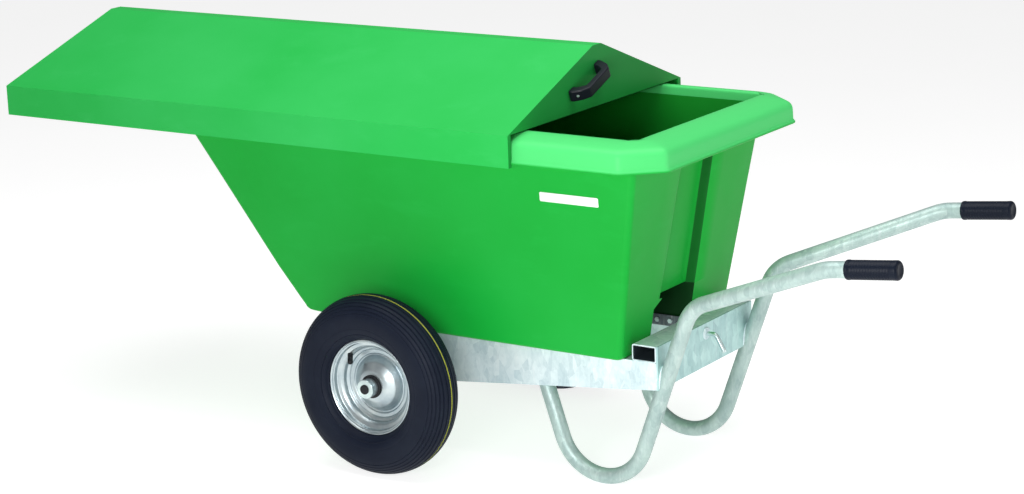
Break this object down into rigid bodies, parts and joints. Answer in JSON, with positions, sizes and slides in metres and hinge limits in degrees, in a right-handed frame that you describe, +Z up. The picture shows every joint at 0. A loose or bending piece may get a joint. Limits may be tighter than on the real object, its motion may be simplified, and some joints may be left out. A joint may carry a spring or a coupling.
{
  "type": "two-wheeled feed barrow",
  "caption": "Hand-pushed barrow: plastic tipping tub with a sliding saddle-roof lid on a galvanised frame with pneumatic wheels and bent-tube handles that are also its legs.",
  "frame": {"origin": "on the ground, below the middle of the whole object's box (84.3 mm towards the handles from the axle)", "axes": "+X points from the lid's front to the handles, +Y to the left wheel, +Z up"},
  "size_m": [2.2266, 0.7972, 0.9095],
  "materials": {
    "tub_plastic": "moulded green polyethylene, satin",
    "lid_plastic": "moulded green polyethylene, satin",
    "galvanised": "hot-dip galvanised steel with a soft spangle",
    "zinc": "zinc-plated steel",
    "bright_zinc": "bright zinc-plated pressed steel",
    "black_plastic": "black moulded plastic",
    "grip_plastic": "blue-black soft PVC, slightly glossy",
    "tyre_rubber": "blue-black ribbed tyre rubber",
    "black_rubber": "black rubber",
    "label_white": "white vinyl sticker with no print"
  },
  "bodies": {
    "chassis": {"rail_left": "galvanised", "rail_right": "galvanised", "rear_cross_tube": "galvanised", "rear_plate": "galvanised", "axle": "zinc", "axle_spacer_left": "galvanised", "axle_spacer_right": "galvanised", "axle_washers": "zinc", "axle_caps": "black_plastic", "handle_tube_left": "galvanised", "handle_tube_right": "galvanised", "grip_left": "grip_plastic", "grip_right": "grip_plastic", "latch_bush": "galvanised"},
    "tub": {"tub": "tub_plastic", "label": "label_white", "pivot_lug_left": "galvanised", "pivot_lug_right": "galvanised", "pivot_bolts": "zinc", "latch_catch": "galvanised", "catch_bolts": "zinc"},
    "lid": {"lid": "lid_plastic", "lid_handle": "black_plastic", "lid_handle_screws": "zinc"},
    "latch": {"latch_pin": "zinc", "latch_washer": "zinc", "latch_split_pin": "zinc"},
    "wheel_left": {"tyre_left": "tyre_rubber", "inner_tube_left": "black_rubber", "valve_left": "black_rubber", "rim_left": "bright_zinc", "hub_left": "bright_zinc", "bearings_left": "black_plastic", "dust_ring_left": "black_rubber"},
    "wheel_right": {"tyre_right": "tyre_rubber", "inner_tube_right": "black_rubber", "valve_right": "black_rubber", "rim_right": "bright_zinc", "hub_right": "bright_zinc", "bearings_right": "black_plastic", "dust_ring_right": "black_rubber"}
  },
  "joints": [
    {"name": "wheel_left_spin", "type": "hinge", "parent": "chassis", "child": "wheel_left", "pos_m": [-0.08432, 0.3486, 0.2], "axis": [0, 1, 0], "continuous": true},
    {"name": "wheel_right_spin", "type": "hinge", "parent": "chassis", "child": "wheel_right", "pos_m": [-0.08432, -0.3486, 0.2], "axis": [0, 1, 0], "continuous": true},
    {"name": "tub_tilt", "type": "hinge", "parent": "chassis", "child": "tub", "pos_m": [-0.08432, 0, 0.2], "axis": [0, -1, 0], "range_deg": [0, 35]},
    {"name": "lid_slide", "type": "slide", "parent": "tub", "child": "lid", "axis": [1, 0, 0], "range_m": [0, 0.36]},
    {"name": "latch_push", "type": "slide", "parent": "chassis", "child": "latch", "axis": [1, 0, 0], "range_m": [-0.012, 0]}
  ]
}
